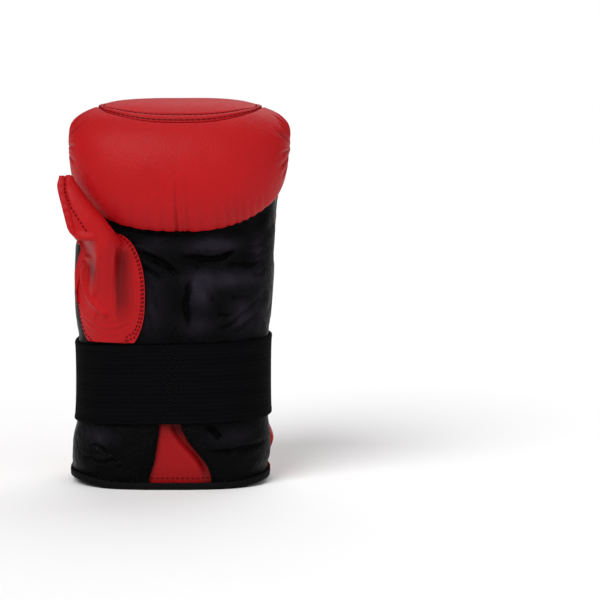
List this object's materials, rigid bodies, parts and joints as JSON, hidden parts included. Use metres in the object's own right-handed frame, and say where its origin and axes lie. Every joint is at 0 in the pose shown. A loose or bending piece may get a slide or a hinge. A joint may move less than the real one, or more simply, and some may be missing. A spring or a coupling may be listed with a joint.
{
  "type": "bag glove",
  "caption": "Padded left-hand bag glove: red shell rolled over the fingers, black palm with a thumb sleeve, woven wrist elastic, wide closing strap and bound hem.",
  "frame": {"origin": "centre of the bounding box at the underside of the hem binding, where the glove stands", "axes": "+Z from the hem to the knuckles, -Y the palm side, +Y the back of the hand, -X the thumb side"},
  "size_m": [0.1437, 0.0986, 0.2426],
  "materials": {
    "red_leather": "soft semi-gloss grain",
    "black_leather": "soft semi-gloss, wrinkled",
    "black_webbing": "matt woven elastic",
    "black_loop": "matt brushed loop",
    "black_strap": "matt, bound edge",
    "black_binding": "satin bias tape"
  },
  "bodies": {
    "root": {"back_pad": "red_leather", "knuckle_panel": "red_leather", "palm": "black_leather", "gusset": "red_leather", "thumb": "red_leather", "thumb_welt": "red_leather", "wrist_elastic": "black_webbing", "loop_patch": "black_loop", "strap_tab": "black_strap", "hem_binding": "black_binding"}
  },
  "joints": []
}
